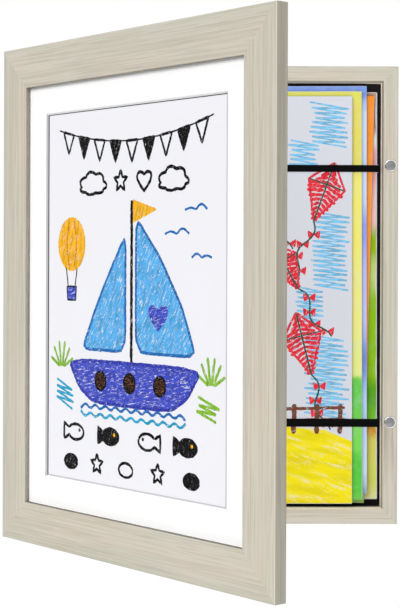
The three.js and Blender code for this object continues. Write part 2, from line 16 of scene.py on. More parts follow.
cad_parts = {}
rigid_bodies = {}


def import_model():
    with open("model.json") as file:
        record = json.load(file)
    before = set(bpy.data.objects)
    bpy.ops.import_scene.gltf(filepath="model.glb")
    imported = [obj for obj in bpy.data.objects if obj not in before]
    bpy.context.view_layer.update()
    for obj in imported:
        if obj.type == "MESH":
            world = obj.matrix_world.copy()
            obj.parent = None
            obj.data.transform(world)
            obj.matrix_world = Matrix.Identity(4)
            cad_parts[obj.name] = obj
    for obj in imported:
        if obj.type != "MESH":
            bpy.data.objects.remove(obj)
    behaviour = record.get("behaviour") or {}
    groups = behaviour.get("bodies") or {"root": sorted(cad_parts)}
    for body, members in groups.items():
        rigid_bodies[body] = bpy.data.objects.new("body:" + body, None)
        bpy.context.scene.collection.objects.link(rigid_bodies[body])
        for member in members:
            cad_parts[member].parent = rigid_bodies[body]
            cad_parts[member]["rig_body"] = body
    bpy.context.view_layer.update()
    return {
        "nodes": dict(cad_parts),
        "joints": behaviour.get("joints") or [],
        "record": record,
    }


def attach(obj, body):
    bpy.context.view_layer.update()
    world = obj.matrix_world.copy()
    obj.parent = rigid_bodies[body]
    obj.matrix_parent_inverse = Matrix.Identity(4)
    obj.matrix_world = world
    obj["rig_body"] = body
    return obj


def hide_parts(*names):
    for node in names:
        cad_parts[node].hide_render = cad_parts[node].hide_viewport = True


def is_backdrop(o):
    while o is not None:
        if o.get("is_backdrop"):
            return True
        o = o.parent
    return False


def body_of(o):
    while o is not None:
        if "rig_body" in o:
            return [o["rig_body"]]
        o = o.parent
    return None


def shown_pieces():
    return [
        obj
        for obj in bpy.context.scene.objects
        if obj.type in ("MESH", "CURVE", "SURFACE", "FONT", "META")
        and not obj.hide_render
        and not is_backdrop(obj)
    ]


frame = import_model()

MM = 0.001
HERE = Matrix.Identity(4)
WHITE = (1, 1, 1, 1)
SQUARE = ((-1, -1), (1, -1), (1, 1), (-1, 1))


def tone(red, green, blue):
    """A colour as it looks on a screen, 0 to 255, as the linear colour that shaders take."""

    def linear(level):
        share = level / 255
        return share / 12.92 if share <= 0.04045 else ((share + 0.055) / 1.055) ** 2.4

    return (linear(red), linear(green), linear(blue), 1.0)


def scaled(colour, share):
    """A colour with its light scaled."""
    return tuple(channel * share for channel in colour[:3]) + (1.0,)


# Camera, as fitted to the photograph
PHOTO_HEIGHT = 607
CAMERA_PLACE = (-0.0086, -1.2175, -0.1493)
CAMERA_ROLL = math.radians(0.2)
FOCAL_PIXELS = 1540.9
EYE_LINE_PIXELS = 262.3  # from the top of the photograph
SENSOR = 36.0

# Light: an even sky, and soft suns as (level, direction to it, softness)
SKY_LEVEL = 0.36
DOOR_KEY = (0.74, Vector((-0.33, -0.63, 0.27)), math.radians(30))
BOX_KEY = (0.625, Vector((-0.36, -0.5, 0.42)), math.radians(50))
BOX_FILL = (0.48, Vector((-0.05, -0.7, -0.6)), math.radians(60))

# Floor
FLOOR_LEVEL = -0.62
FLOOR_RADIUS = 0.7
FLOOR_SEGMENTS = 96
FLOOR_TONES = (tone(243, 243, 243), tone(248, 248, 248))
FLOOR_LIFT = 0.3  # how much light of its own the camera sees on it

# Meshes
WELD = 0.002 * MM
FLAT_ANGLE = math.radians(1)
SHARP_ANGLE = math.radians(32)
FACING = 0.99  # the share of Y in the normal of a face that looks forwards or back
LATHE_SEGMENTS = 64

# Wood-look foil: its colours, and where its grain starts
FOIL_LIGHT = tone(212, 206, 193)
FOIL_DARK = tone(194, 187, 171)
FOIL_THREAD = tone(168, 160, 143)
FOIL_GREEN = tone(199, 198, 182)
FOIL_WARM = tone(211, 199, 184)
FOIL_SEEDS = {"door": 3.0, "box": 5.0}
FOIL_RELIEF = 0.04 * MM
FOIL_ROUGHNESS = (0.56, 0.16)  # its least, and what streaks add
STREAK_SHARE = 0.84  # of the light and dark, with bands for the rest
STREAK_RANGE, THREAD_RANGE, HUE_RANGE = (0.41, 0.58), (0.5, 0.66), (0.36, 0.56)
THREAD_SHARE, HUE_SHARE = 0.3, 0.42
GREYING = (0.45, 0.2)  # the share of the width where it starts to grey outwards, and how much
MITRE_BREAK = 37.0  # how far the grain of the stiles lies from that of the rails

# Its bands, streaks, threads and hues, each as (scale across the rail, along it, detail, roughness)
FOIL_GRAIN = ((120, 3, 2, 0.5), (620, 6, 3, 0.6), (1000, 24, 2, 0.55), (34, 9, 2, 0.5))

# Inner walls, whose foil is scaled darker or lighter for painted shade and painted light, as (shade at the
# front, shade at the back, how much of the rounded edge they take in), and the depths between which the
# shade changes
LIP_PAINTED_SHADE = (0.7, 0.7, 0.1 * MM)
LOW_LIP_PAINTED_SHADE = (0.36, 0.36, 0.35 * MM)
BOX_WALL_PAINTED_SHADE = (0.62, 2.3, 0.1 * MM)
BOX_CEILING_PAINTED_SHADE = (0.78, 1.9, 0.1 * MM)
BOX_FLOOR_PAINTED_SHADE = (1.6, 0.15, 0.1 * MM)
SIDES = ("rail_top", "stile_left", "rail_bottom", "stile_right")
PAINTED_WALL_SHADES = {
    "door": (LIP_PAINTED_SHADE, LIP_PAINTED_SHADE, LOW_LIP_PAINTED_SHADE, LOW_LIP_PAINTED_SHADE),
    "box": (BOX_CEILING_PAINTED_SHADE, BOX_WALL_PAINTED_SHADE, BOX_FLOOR_PAINTED_SHADE, BOX_WALL_PAINTED_SHADE),
}
SHADE_DEPTHS = (9 * MM, 14 * MM)

# A painted highlight on the front's rounded outer edge on the right, where the foil is made brighter: its
# shade in front and behind, the outermost width that it lies in, and how far its faces look to the right and
# to the front
PAINTED_HIGHLIGHT = (1.35, 1.35)
PAINTED_HIGHLIGHT_WIDTH = 0.8 * MM
PAINTED_HIGHLIGHT_SLANT = 0.2

# Mitres: the CAD part's gap, and the hairline that is left of it
MITRE_GAP = 0.15 * MM
MITRE_HAIRLINE = 0.01 * MM

# Boards and papers, as (colour, how much they mirror, how much darker their flecks are)
PAPER_TOOTH = 0.03 * MM
PRINT_WHITE = tone(240, 240, 245)
SHEET_WHITE = tone(216, 218, 227)
BOARDS = {
    "mat_white": (tone(254, 254, 254), 0.15, 0.02),
    # A grey painted shade for the mat's upright bevels
    "mat_bevel_shade": (tone(190, 190, 192), 0.15, 0.04),
    # A dark painted shadow line and paler painted shade lines round the mat's window
    "mat_line": (tone(34, 34, 38), 0.15, 0.1),
    "mat_edge": (tone(210, 210, 214), 0.15, 0.1),
    "mat_foot": (tone(198, 198, 203), 0.15, 0.1),
    "backing_grey": (tone(58, 55, 52), 0.15, 0.3),
    "panel_black": (tone(25, 21, 22), 0.1, 0.35),
    "print_paper": (PRINT_WHITE, 0.15, 0.015),
    "sheet_paper": (SHEET_WHITE, 0.15, 0.02),
    "pile_paper": (SHEET_WHITE, 0.15, 0.06),
}

# Crayons, as (colour, the paper beneath, angle of the strokes in degrees, how much paper shows), and for some
# the scale of the strokes and the shade of the darkest ones
BLACK = tone(8, 7, 8)
BOAT_CRAYONS = {
    "black": (BLACK, PRINT_WHITE, 70, 0.0),
    "sail_blue": (tone(88, 178, 238), PRINT_WHITE, 55, 0.34),
    "line_blue": (tone(34, 112, 186), PRINT_WHITE, 20, 0.1),
    "deep_blue": (tone(66, 80, 198), PRINT_WHITE, 12, 0.3),
    "night_blue": (tone(52, 62, 176), PRINT_WHITE, 40, 0.1),
    "amber": (tone(252, 186, 30), PRINT_WHITE, 64, 0.2),
    "gold": (tone(226, 146, 20), PRINT_WHITE, 30, 0.15),
    "teal": (tone(36, 168, 208), PRINT_WHITE, 5, 0.15),
    "grass": (tone(138, 192, 52), PRINT_WHITE, 80, 0.2),
    "knot": (BLACK, tone(168, 104, 62), 25, 0.45, 0.6),
}
KITE_CRAYONS = {
    "sky_scribble": (tone(130, 202, 242), SHEET_WHITE, 8, 0.1),
    "red": (tone(232, 52, 66), SHEET_WHITE, 60, 0.15),
    "pine": (tone(36, 88, 78), SHEET_WHITE, 80, 0.1),
    "brown": (tone(122, 74, 56), SHEET_WHITE, 20, 0.15),
    "field": (tone(246, 228, 26), tone(240, 228, 170), -20, 0.36, 3.2, 0.86),
}

# Elastic, and metals as (colour, roughness, scales of the surface's lines or grains)
ELASTIC_TONES = (tone(4, 4, 5), tone(15, 15, 17))
DRAWN, SANDED = (60, 60, 900), (500, 500, 500)
METALS = {
    "zinc_plate": (tone(170, 170, 167), 0.36, DRAWN),
    "screw_zinc": (tone(164, 162, 154), 0.32, DRAWN),
    "catch_nickel": (tone(206, 206, 204), 0.28, DRAWN),
    # The cup's crescent is a painted highlight, and the plate's dark edge a painted shadow
    "catch_bright": (tone(252, 252, 250), 0.16, DRAWN),
    "catch_plate": (tone(132, 132, 134), 0.42, SANDED),
    "catch_plate_painted_shadow": (tone(76, 75, 72), 0.5, SANDED),
}

# Wax on a sheet: its thickness, how far each level lies in front of the one beneath, and how far each
# stroke of a level lies from the last, so that no two share a plane
WAX_THICKNESS = 0.03 * MM
LEVEL_STEP = 0.03 * MM
LIFT_STEP = 0.003 * MM
LIFTS = 8  # then they repeat
STROKE_STEP = 1.6  # between a stroke's sections, in a drawing's millimetres
HATCHES = 13  # on each side of a kite's spine

# Painted lines on the mat: a dark painted shadow where its bevel meets the print, and paler painted shade
# lines below and on the right, and along the window's right edge
MAT_LINE_WIDTHS = (0.8 * MM, 0.48 * MM)  # at the sides, and above and below
MAT_LINE_THICKNESS = 0.26 * MM
MAT_EDGE_WIDTH = 0.4 * MM
MAT_FOOT_WIDTH = 1.0 * MM
PALE_LINE_THICKNESS = 0.03 * MM
# The upright bevels take the grey painted shade
BEVEL_SLANT = (0.5, 0.95)  # how far the upright bevels' faces look sideways

# Catch magnets: a bright cup with a rounded rim, and a grey plate a little left of its middle and below it,
# so that a crescent of the cup shows at the upper right as a painted highlight. The plate's dark edge is a
# painted shadow.
RIM_ROUND = 0.35 * MM
RIM_STEPS = 6
PLATE_MARGIN = 0.58 * MM
PLATE_SHIFT = (-0.25 * MM, -0.12 * MM)
PLATE_RISE = 0.12 * MM
PLATE_CHAMFER = (0.24 * MM, 0.072 * MM)  # inwards and back

# The catches: how far each magnet, its strike and their bores lie above those of the CAD part, and the
# distance from the magnet's axis within which they all lie
CATCH_RISES = {"magnet_upper": 0.78 * MM, "magnet_lower": 1.25 * MM}
CATCH_REACH = 5.0 * MM

# Straps: how far the top and the bottom edge of each one's front lie below those of the CAD part
STRAP_DROPS = {"upper": (0.8 * MM, 0.8 * MM), "lower": (0.0, 0.78 * MM)}
STRAP_EDGE = 0.12 * MM

# Stored sheets, with the most that one slips and turns out of line
SHEETS_IN_PILE = 9
SHEET_THICKNESS = 0.13 * MM
SHEET_SLIP = 0.22 * MM
SHEET_TWIST = math.radians(0.12)
PILE_TURN = math.radians(-0.21)  # of all but the sunset, which keeps that of the CAD part

# The five piles: how many millimetres the top and the bottom edge of each lie above those of the CAD part,
# and how many the pile lies to its right
PILE_SHIFTS = (
    (-0.6, 0.5, 0.0),
    (-0.75, -1.15, 0.0),
    (0.05, -0.6, 0.0),
    (-1.25, -1.8, 0.7),
    (0.0, -0.85, 0.0),
)

# The edge of a painting inside its sheet
PAINT_BORDER = 0.4 * MM
PAINT_WAVE = 0.6 * MM
PAINT_WAVE_LENGTHS = (7 * MM, 23 * MM)
PAINT_WAVE_SHIFT = 0.2
PAINT_WAVE_STEPS = 80

# Stops of paintings: heights in millimetres above the sheet's middle, each with the colour there, 0 to 255
SPRING_STOPS = (
    (-160, 112, 206, 80), (-138, 88, 200, 62), (-108, 124, 218, 90),
    (-72, 98, 204, 74), (-56, 228, 236, 140), (-8, 238, 234, 138),
    (60, 240, 234, 118), (140, 226, 218, 98), (160, 224, 222, 100),
)
LAKE_STOPS = (
    (-156, 150, 176, 190), (-140, 206, 228, 255), (-90, 190, 216, 255),
    (-56, 116, 144, 228), (-20, 194, 206, 254), (10, 190, 194, 252),
    (48, 156, 166, 248), (78, 208, 222, 255), (140, 200, 222, 255),
    (151, 114, 148, 226), (158, 128, 160, 232),
)
SUNSET_STOPS = (
    (-160, 171, 216, 117), (-146, 180, 216, 124), (-130, 254, 166, 70),
    (60, 250, 158, 62), (160, 248, 146, 44),
)
GARDEN_STOPS = (
    (-160, 230, 232, 170), (-140, 210, 214, 100), (-110, 214, 208, 98),
    (-105, 214, 130, 36), (-99, 120, 202, 50), (-76, 86, 166, 14),
    (-60, 142, 192, 18), (-6, 142, 192, 18), (18, 192, 214, 122),
    (42, 148, 186, 10), (62, 238, 192, 190), (112, 226, 158, 164),
    (122, 236, 228, 216), (134, 178, 124, 100), (160, 190, 146, 124),
)

# Paintings on the second to the fifth pile, as (stops, how softly they meet, how pale the bloom is, how far
# the stops wander in millimetres)
PAINTINGS = {
    "spring": (SPRING_STOPS, 0.4, 0.2, 30),
    "lake": (LAKE_STOPS, 1.0, 0.2, 20),
    "sunset": (SUNSET_STOPS, 1.0, 0.08, 60),
    "garden": (GARDEN_STOPS, 0.6, 0.06, 20),
}


# Nodes


class Graph:
    """Shader nodes. Each is joined to its inputs as it is added."""

    def __init__(self, tree):
        self.tree = tree

    def feed(self, socket, value):
        if isinstance(value, bpy.types.NodeSocket):
            self.tree.links.new(value, socket)
        else:
            socket.default_value = value

    def add(self, kind, inputs=None, **settings):
        made = self.tree.nodes.new(kind)
        for name, value in settings.items():
            setattr(made, name, value)
        for name, value in (inputs or {}).items():
            self.feed(made.inputs[name], value)
        return made

    def surface(self, **inputs):
        """Sets the main shader's inputs, named with underscores for spaces."""
        for name, value in inputs.items():
            self.feed(self.tree.nodes["Principled BSDF"].inputs[name.replace("_", " ")], value)

    def place(self, scale=(1, 1, 1), turn=0.0):
        """The piece's own coordinates, turned about Y and then scaled."""
        here = self.add("ShaderNodeTexCoord").outputs["Object"]
        turned = self.add("ShaderNodeVectorRotate", {"Vector": here, "Angle": turn}, rotation_type="Y_AXIS")
        return self.add("ShaderNodeMapping", {"Vector": turned.outputs[0], "Scale": scale}).outputs[0]

    def noise(self, where, scale=1.0, detail=2.0, roughness=0.5, distortion=0.0):
        inputs = {"Vector": where, "Scale": scale, "Detail": detail, "Roughness": roughness}
        return self.add("ShaderNodeTexNoise", {**inputs, "Distortion": distortion}).outputs["Fac"]

    def math(self, operation, *values, clamp=False):
        made = self.add("ShaderNodeMath", operation=operation, use_clamp=clamp)
        for socket, value in zip(made.inputs, values):
            self.feed(socket, value)
        return made.outputs[0]

    plus = partialmethod(math, "ADD")
    minus = partialmethod(math, "SUBTRACT")
    times = partialmethod(math, "MULTIPLY")

    def split(self, vector):
        return self.add("ShaderNodeSeparateXYZ", {"Vector": vector}).outputs

    def steps(self, value, low, high):
        """0 below low and 1 above high, smooth between."""
        inputs = {"Value": value, "From Min": low, "From Max": high}
        return self.add("ShaderNodeMapRange", inputs, interpolation_type="SMOOTHSTEP").outputs[0]

    def mix(self, share, first, second):
        made = self.add("ShaderNodeMix", data_type="RGBA")
        self.feed(made.inputs[0], share)
        self.feed(made.inputs[6], first)
        self.feed(made.inputs[7], second)
        return made.outputs[2]

    def bump(self, height, distance, strength):
        inputs = {"Height": height, "Distance": distance, "Strength": strength}
        return self.add("ShaderNodeBump", inputs).outputs[0]


# Materials


def new_material(name):
    material = bpy.data.materials.new(name)
    material.use_nodes = True
    return Graph(material.node_tree), material


def foil(name, ring, seed, front_shade=1.0, back_shade=1.0):
    """Wood-look foil. Its grain runs along each rail of a ring, breaks at the mitres and greys outwards. Its
    colour is scaled from front_shade to back_shade with depth: painted shade and painted light.
    """
    g, material = new_material(name)
    middle, inner, width = ring
    x, y, z = g.split(g.place())
    side = g.minus(g.math("ABSOLUTE", g.minus(x, middle.x)), inner.x)
    end = g.minus(g.math("ABSOLUTE", g.minus(z, middle.z)), inner.z)
    outwards = g.math("MAXIMUM", side, end)
    over = g.plus(outwards, y)
    start = g.math("MULTIPLY_ADD", g.math("GREATER_THAN", side, end), MITRE_BREAK, seed)

    def grain(across, along, detail, roughness):
        parts = (g.math("MULTIPLY_ADD", over, across, start), g.times(x, along), g.times(z, along))
        where = g.add("ShaderNodeCombineXYZ", dict(zip("XYZ", parts))).outputs[0]
        return g.noise(where, detail=detail, roughness=roughness)

    bands, streaks, threads, hue = (grain(*kind) for kind in FOIL_GRAIN)
    level = g.plus(g.times(streaks, STREAK_SHARE), g.times(bands, 1 - STREAK_SHARE))
    body = g.mix(g.steps(level, *STREAK_RANGE), FOIL_DARK, FOIL_LIGHT)
    outer = g.times(g.steps(outwards, width * GREYING[0], width), GREYING[1])
    tint = g.mix(g.steps(g.minus(hue, outer), *HUE_RANGE), FOIL_GREEN, FOIL_WARM)
    body = g.mix(HUE_SHARE, body, tint)
    thread = g.times(g.steps(threads, *THREAD_RANGE), THREAD_SHARE)
    body = g.mix(thread, body, FOIL_THREAD)
    # Painted shade and light: the colour scaled from front_shade to back_shade between the shade depths
    deep = g.steps(y, *(middle.y + depth for depth in SHADE_DEPTHS))
    shade = g.math("MULTIPLY_ADD", deep, back_shade - front_shade, front_shade)
    body = g.add("ShaderNodeVectorMath", {"Vector": body, "Scale": shade}, operation="SCALE").outputs[0]
    g.surface(
        Base_Color=body,
        Roughness=g.math("MULTIPLY_ADD", streaks, FOIL_ROUGHNESS[1], FOIL_ROUGHNESS[0]),
        Specular_IOR_Level=0.12,
        Normal=g.bump(g.minus(streaks, threads), FOIL_RELIEF, 0.5),
    )
    return material


def board(name, kind=None):
    """Matt board or paper: fine fibres and a soft unevenness."""
    g, material = new_material(name)
    colour, specular, fleck = BOARDS[kind or name]
    fibres = g.noise(g.place(), scale=1400, detail=3)
    clouds = g.noise(g.place(), scale=22, detail=3)
    dim = scaled(colour, 1 - fleck)
    shade = g.plus(g.times(fibres, 0.6), g.times(clouds, 0.4))
    g.surface(
        Base_Color=g.mix(g.steps(shade, 0.3, 0.62), dim, colour),
        Roughness=0.85,
        Specular_IOR_Level=specular,
        Normal=g.bump(fibres, PAPER_TOOTH, 0.4),
    )
    return material


def crayon(name, colour, paper, hatch, bare, coarse=1.0, deep=0.72):
    """Wax that skips on the paper's tooth, in strokes at the hatch angle."""
    g, material = new_material(name)
    turn = math.radians(hatch)
    scale = (170 / coarse, 1, 850 / coarse)
    strokes = g.noise(g.place(scale, turn), detail=3, roughness=0.6, distortion=0.5)
    tooth = g.noise(g.place(), scale=1500, detail=2)
    clouds = g.noise(g.place(scale, turn + 0.2), scale=0.45, detail=2)
    cover = g.plus(strokes, g.times(g.minus(tooth, 0.5), 0.7))
    wax = g.steps(cover, 0.24 + 0.24 * bare, 0.34 + 0.24 * bare)
    body = g.mix(g.steps(clouds, 0.4, 0.66), colour, scaled(colour, deep))
    g.surface(
        Base_Color=g.mix(wax, paper, body),
        Roughness=0.75,
        Specular_IOR_Level=0.08,
        Normal=g.bump(wax, PAPER_TOOTH, 0.4),
    )
    return material


def crayons(looks):
    return {name: crayon(f"wax_{name}", *look) for name, look in looks.items()}


def washes(name, stops, edge, pale, wander):
    """Watercolour: stops that run into each other, with a paler bloom."""
    g, material = new_material(name)
    here = g.place((1000, 1000, 1000))
    height = g.split(here)["Z"]
    waver = g.noise(here, scale=0.05, detail=4, roughness=0.6)
    height = g.math("MULTIPLY_ADD", g.minus(waver, 0.5), wander, height)
    body = tone(*stops[0][1:])
    for (low, *_), (high, *colour) in zip(stops, stops[1:]):
        middle = (low + high) / 2
        soft = (high - low) * edge / 2 + 2
        body = g.mix(g.steps(height, middle - soft, middle + soft), body, tone(*colour))
    bloom = g.times(g.steps(g.noise(here, scale=0.09, detail=5, roughness=0.65), 0.42, 0.72), pale)
    fibres = g.noise(here, scale=1.3, detail=2)
    g.surface(
        Base_Color=g.mix(bloom, body, SHEET_WHITE),
        Roughness=0.8,
        Specular_IOR_Level=0.15,
        Normal=g.bump(fibres, PAPER_TOOTH, 0.4),
    )
    return material


def webbing(name):
    """Black woven elastic: ribs across the strap and threads along it."""
    g, material = new_material(name)
    here = g.place()

    def bands(scale, direction):
        inputs = {"Vector": here, "Scale": scale, "Distortion": 0.6}
        return g.add("ShaderNodeTexWave", inputs, bands_direction=direction).outputs["Fac"]

    weave = g.times(bands(260.0, "X"), bands(420.0, "Z"))
    g.surface(
        Base_Color=g.mix(weave, *ELASTIC_TONES),
        Roughness=0.9,
        Specular_IOR_Level=0.08,
        Normal=g.bump(weave, 0.12 * MM, 0.6),
    )
    return material


def metal(name):
    """Plated steel with faint lines or grains and a soft mottle."""
    g, material = new_material(name)
    colour, roughness, scales = METALS[name]
    lines = g.noise(g.place(scales), detail=3)
    mottle = g.noise(g.place(), scale=260, detail=3)
    dim = scaled(colour, 0.82)
    g.surface(
        Base_Color=g.mix(g.steps(mottle, 0.3, 0.7), dim, colour),
        Metallic=1.0,
        Roughness=g.plus(roughness - 0.06, g.times(lines, 0.12)),
        Normal=g.bump(lines, 0.01 * MM, 0.3),
    )
    return material


def clear_sheet(name):
    """Thin clear glazing that lets light through and mirrors a little of the room."""
    g, material = new_material(name)
    smears = g.noise(g.place(), scale=14, detail=2)
    through = g.add("ShaderNodeBsdfTransparent", {"Color": WHITE})
    mirror = g.add("ShaderNodeBsdfGlossy", {"Color": WHITE, "Roughness": 0.03})
    edge = g.add("ShaderNodeLayerWeight", {"Blend": 0.12}).outputs["Fresnel"]
    share = g.times(edge, g.plus(0.1, g.times(smears, 0.03)))
    both = g.add("ShaderNodeMixShader")
    g.feed(both.inputs[0], share)
    g.feed(both.inputs[1], through.outputs[0])
    g.feed(both.inputs[2], mirror.outputs[0])
    g.feed(g.tree.nodes["Material Output"].inputs["Surface"], both.outputs[0])
    g.tree.nodes.remove(g.tree.nodes["Principled BSDF"])
    return material


# Pieces


def open_door():
    """Takes the door from its closed place to the place where it rests open."""
    joint = frame["joints"][0]
    pin = Matrix.Translation(joint["pos_m"])
    turn = Matrix.Rotation(math.radians(joint["range_deg"][0]), 4, "Z")
    return pin @ turn @ pin.inverted()


PLACES = {"box": HERE, "door": open_door()}
BODY_OF = {node: body for body, nodes in frame["record"]["behaviour"]["bodies"].items() for node in nodes}


def own_box(node):
    """A CAD node's lowest and highest corners while the door is closed."""
    back = PLACES[BODY_OF[node]].inverted()
    points = [back @ vertex.co for vertex in frame["nodes"][node].data.vertices]
    return tuple(Vector(pick(p[i] for p in points) for i in range(3)) for pick in (min, max))


def front_middle(node):
    low, high = own_box(node)
    return Vector(((low.x + high.x) / 2, low.y, (low.z + high.z) / 2))


def turn_of(node):
    """How far a sheet is turned about Y, from its leftmost and its lowest corner."""
    points = [vertex.co for vertex in frame["nodes"][node].data.vertices]
    left, lowest = min(points, key=lambda p: p.x), min(points, key=lambda p: p.z)
    return math.atan2(left.z - lowest.z, lowest.x - left.x)


def ring_of(body):
    """The middle of a body's four rails, half of the opening inside them, and their width."""
    left, right = own_box(f"{body}_stile_left"), own_box(f"{body}_stile_right")
    bottom, top = own_box(f"{body}_rail_bottom"), own_box(f"{body}_rail_top")
    middle = Vector(((left[0].x + right[1].x) / 2, left[0].y, (bottom[0].z + top[1].z) / 2))
    inner = Vector(((right[0].x - left[1].x) / 2, 0, (top[0].z - bottom[1].z) / 2))
    return middle, inner, left[1].x - left[0].x


def outwards(point, middle, inner):
    """How far a point lies outside a ring's opening."""
    return max(abs(point.x - middle.x) - inner.x, abs(point.z - middle.z) - inner.z)


def new_object(name, data):
    made = bpy.data.objects.new(name, data)
    bpy.context.scene.collection.objects.link(made)
    return made


def finish_piece(name, mesh, materials, node, place=HERE):
    """Puts a mesh in the scene instead of a CAD node, on that node's body."""
    for one in materials:
        mesh.materials.append(one)
    piece = new_object(name, mesh)
    piece.matrix_world = PLACES[BODY_OF[node]] @ place
    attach(piece, BODY_OF[node])
    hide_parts(node)


def to_mesh(bm, name, smooth=True):
    """A mesh of what was built. A smooth one still keeps its sharp edges."""
    bmesh.ops.recalc_face_normals(bm, faces=bm.faces)
    mesh = bpy.data.meshes.new(name)
    bm.to_mesh(mesh)
    bm.free()
    mesh.polygons.foreach_set("use_smooth", [smooth] * len(mesh.polygons))
    if smooth:
        mesh.set_sharp_from_angle(angle=SHARP_ANGLE)
    return mesh


def cleaned(node, edge=0.0):
    """A CAD node's shape while the door is closed, its flats whole and its hard edges just broken."""
    bm = bmesh.new()
    bm.from_mesh(frame["nodes"][node].data)
    bm.transform(PLACES[BODY_OF[node]].inverted())
    bmesh.ops.remove_doubles(bm, verts=bm.verts, dist=WELD)
    bmesh.ops.dissolve_limit(bm, angle_limit=FLAT_ANGLE, verts=bm.verts, edges=bm.edges)
    if edge:
        hard = [e for e in bm.edges if e.is_manifold and e.calc_face_angle() > SHARP_ANGLE]
        bmesh.ops.bevel(bm, geom=hard, offset=edge, segments=2, affect="EDGES", clamp_overlap=True)
    return bm


def refine(node, materials, edge=0.0, shape=None, special=None, add=None):
    """Finishes a CAD node: shape alters it, special picks a face's material, add builds onto it."""
    bm = cleaned(node, edge)
    if shape:
        shape(bm)
    bm.normal_update()
    for face in bm.faces:
        face.material_index = int(special(face)) if special else 0
    if add:
        add(bm)
    name = f"{node}_finished"
    finish_piece(name, to_mesh(bm, name), materials, node)


def band(bm, first, second, material):
    """Faces all round between two loops of vertices."""
    for k in range(len(first)):
        bm.faces.new([first[k - 1], first[k], second[k], second[k - 1]]).material_index = material


def tube(bm, loops, material):
    """A closed tube through loops of vertices. With two loops it is a layer between them."""
    for first, second in zip(loops, loops[1:]):
        band(bm, first, second, material)
    for end in (loops[0], loops[-1]):
        bm.faces.new(end).material_index = material


def slab(bm, width, height, thickness, centre, turn=0.0, material=0):
    """A thin closed sheet whose front lies at the centre's y."""
    spin = Matrix.Rotation(turn, 3, "Y")
    flat = [spin @ Vector((width / 2 * i, 0, height / 2 * j)) + Vector(centre) for i, j in SQUARE]
    tube(bm, [[bm.verts.new(p + Vector((0, y, 0))) for p in flat] for y in (0, thickness)], material)


def hollow_slab(bm, middle, outer, inner, low, high, material):
    """A flat ring with square corners, from y low to y high."""
    loops = []
    for half, y in ((outer, low), (inner, low), (inner, high), (outer, high)):
        corners = [(middle.x + half.x * i, y, middle.z + half.z * j) for i, j in SQUARE]
        loops.append([bm.verts.new(corner) for corner in corners])
    for k in range(len(loops)):
        band(bm, loops[k - 1], loops[k], material)


def lathe(bm, profile, centre, material=0):
    """Turns (radius, y) points about an axis along Y. Discs close both ends."""
    angles = [2 * math.pi * k / LATHE_SEGMENTS for k in range(LATHE_SEGMENTS)]
    ways = [Vector((math.cos(a), 0, math.sin(a))) for a in angles]
    rings = [[bm.verts.new(r * way + Vector((0, y, 0)) + centre) for way in ways] for r, y in profile]
    tube(bm, rings, material)


# Lines that a hand draws


def rounded(points, closed=False, share=0.25):
    """Cuts the corners of a line twice, so that it bends as a hand does."""
    for _ in range(2):
        cut = [] if closed else [points[0]]
        pairs = zip(points, points[1:] + points[:1]) if closed else zip(points, points[1:])
        for (ax, ay), (bx, by) in pairs:
            cut.append((ax + share * (bx - ax), ay + share * (by - ay)))
            cut.append((bx + share * (ax - bx), by + share * (ay - by)))
        points = cut if closed else cut + [points[-1]]
    return points


def arc(x, y, radius, start=0.0, end=360.0, steps=24, squash=1.0):
    """Points on part of an ellipse, its angles in degrees."""
    angles = [math.radians(start + (end - start) * i / steps) for i in range(steps + 1)]
    return [(x + radius * math.cos(a), y + squash * radius * math.sin(a)) for a in angles]


def star(x, y, radius):
    angles = [math.radians(90 + 36 * k) for k in range(10)]
    reach = [radius if k % 2 == 0 else radius * 0.45 for k in range(10)]
    return [(x + r * math.cos(a), y + r * math.sin(a)) for r, a in zip(reach, angles)]


def heart(x, y, size):
    angles = [2 * math.pi * k / 28 for k in range(28)]
    heights = [0.81 * math.cos(a) - 0.31 * math.cos(2 * a) - 0.12 * math.cos(3 * a) for a in angles]
    return [(x + size * math.sin(a) ** 3, y + size * height) for a, height in zip(angles, heights)]


def cloud(x, y, size):
    angles = [2 * math.pi * k / 48 for k in range(48)]
    bumps = [0.84 + 0.2 * abs(math.cos(3.5 * a)) for a in angles]
    squash = [0.66 if math.sin(a) > 0 else 0.34 for a in angles]
    return [
        (x + size * b * math.cos(a), y + s * size * b * math.sin(a)) for a, b, s in zip(angles, bumps, squash)
    ]


def gull(x, y, size, lean):
    """The two wings of a bird far off, the right one higher by twice its lean."""
    return [
        rounded([(x, y), (x + way * 0.6 * size, y + (0.34 + way * lean) * size), (x + way * 1.3 * size, y)])
        for way in (-1, 1)
    ]


def fish(x, y, size, way):
    """A fish that swims to the right for a way of 1 and to the left for -1."""
    body = arc(0, 0, size, 152, -152, 22, 0.6)
    outline = body + [(-1.55 * size, -0.62 * size), (-1.55 * size, 0.62 * size)]
    return [(x + way * px, y + py) for px, py in outline]


